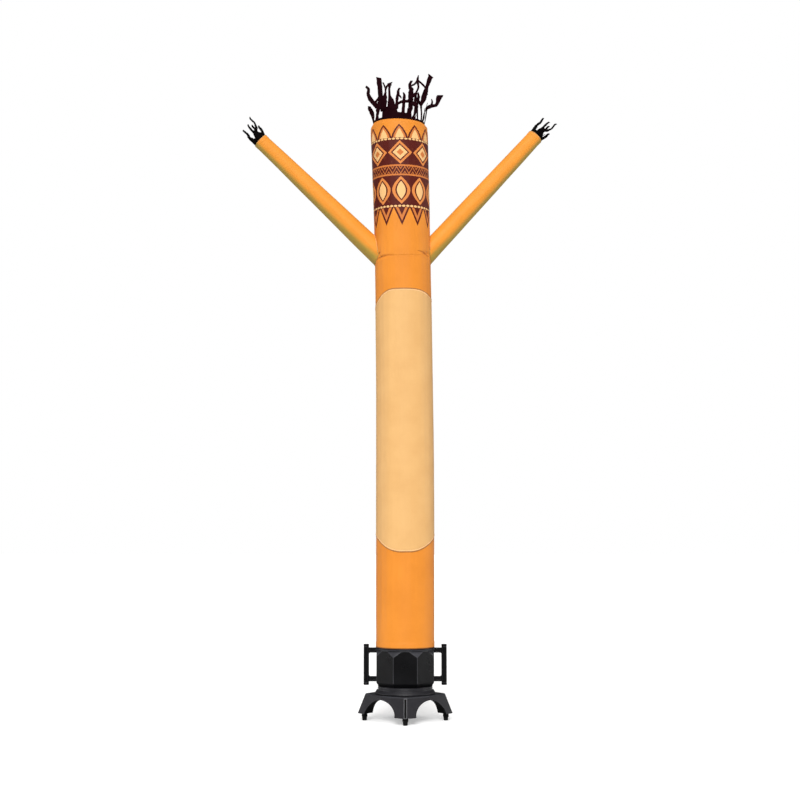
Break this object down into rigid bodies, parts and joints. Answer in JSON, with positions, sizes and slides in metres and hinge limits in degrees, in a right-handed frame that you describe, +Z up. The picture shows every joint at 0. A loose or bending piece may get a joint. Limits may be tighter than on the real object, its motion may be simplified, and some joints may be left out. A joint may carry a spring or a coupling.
{
  "type": "inflatable air dancer with its blower",
  "caption": "Inflatable tube figure with raised arms and cut fringe, standing on its octagonal blower.",
  "frame": {"origin": "middle of the whole figure's footprint box, on the floor; the blower's axis stands 15 mm to +X of it", "axes": "+Z up along the body tube, -Y towards the front (the belly panel), +X to the viewer's right"},
  "size_m": [1.7398, 0.504, 3.4839],
  "materials": {
    "black_moulding": "satin black moulded plastic with a fine grain",
    "black_rubber": "dull black rubber",
    "orange_cloth": "orange coated ripstop cloth with a soft sheen",
    "cream_cloth": "cream coated ripstop cloth with a soft sheen",
    "black_cloth": "very dark maroon black cut cloth"
  },
  "bodies": {
    "root": {"blower_base": "black_moulding", "foot_front": "black_rubber", "foot_right": "black_rubber", "foot_back": "black_rubber", "foot_left": "black_rubber", "blower_neck": "black_moulding", "blower_housing": "black_moulding", "outlet_rim": "black_moulding", "handle_left": "black_moulding", "handle_right": "black_moulding", "tube_lower": "orange_cloth", "tube_head": "orange_cloth", "belly_panel": "cream_cloth", "arm_left": "orange_cloth", "arm_right": "orange_cloth", "hair_fringe": "black_cloth", "hand_fringe_left": "black_cloth", "hand_fringe_right": "black_cloth"}
  },
  "joints": []
}
